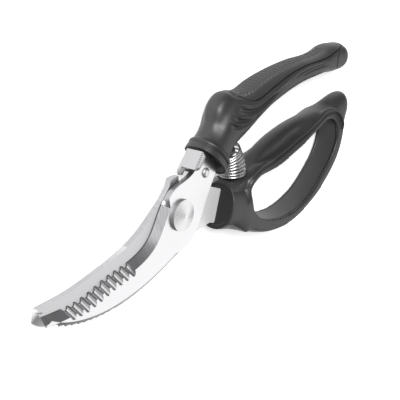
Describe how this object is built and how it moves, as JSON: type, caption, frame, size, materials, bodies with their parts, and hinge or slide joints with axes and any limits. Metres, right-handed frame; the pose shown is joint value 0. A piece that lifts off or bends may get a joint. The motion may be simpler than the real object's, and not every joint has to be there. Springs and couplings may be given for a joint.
{
  "type": "poultry shears",
  "caption": "Spring-opened poultry shears with curved blades, a fluted lower jaw, a thumb lock at the pivot, a slim ribbed upper handle and a closed finger loop below",
  "frame": {"origin": "On the pivot axis, on the closed flat end of the pivot nut, which lies in the surface that the shears rest on", "axes": "X runs along the shears, blades towards -X and handles towards +X. Y is in the plane of the blades, from the finger loop towards the upper handle. Z is the pivot axis and points up, from the nut to the bolt head"},
  "size_m": [0.2482, 0.0886, 0.0194],
  "materials": {
    "front_blade": "satin ground",
    "back_blade": "satin ground",
    "pivot_steel": "polished, turned",
    "nut_steel": "satin",
    "washer_steel": "satin",
    "thrust_washer": "smooth",
    "lock_steel": "satin pressed sheet",
    "rivet_steel": "polished",
    "spring_wire": "drawn wire, bright",
    "stud_steel": "satin",
    "handle_plastic": "fine matt moulded",
    "soft_grip": "matt soft-touch",
    "soft_liner": "matt soft-touch"
  },
  "bodies": {
    "loop_half": {"back_blade": "back_blade", "loop_handle": "handle_plastic", "loop_liner": "soft_liner", "pivot_bolt": "pivot_steel", "pivot_nut": "nut_steel", "thrust_washer": "thrust_washer", "spring_washer": "washer_steel", "flat_washer": "washer_steel", "spring_stud_lower": "stud_steel", "return_spring": "spring_wire"},
    "lever_half": {"front_blade": "front_blade", "upper_handle": "handle_plastic", "upper_grip": "soft_grip", "spring_stud_upper": "stud_steel", "lock_rivet": "rivet_steel", "lock_washer": "washer_steel"},
    "lock": {"lock_lever": "lock_steel"}
  },
  "joints": [
    {"name": "blade_pivot", "type": "hinge", "parent": "loop_half", "child": "lever_half", "pos_m": [0, 0, 0.009], "axis": [0, 0, 1], "range_deg": [0, 34], "stiffness_Nm_per_rad": 0.4, "springref_deg": 57.3, "deforming": ["return_spring"]},
    {"name": "lock_pivot", "type": "hinge", "parent": "lever_half", "child": "lock", "pos_m": [0.0192, 0.0161, 0.009], "axis": [0, 0, 1], "range_deg": [0, 6.7]}
  ]
}
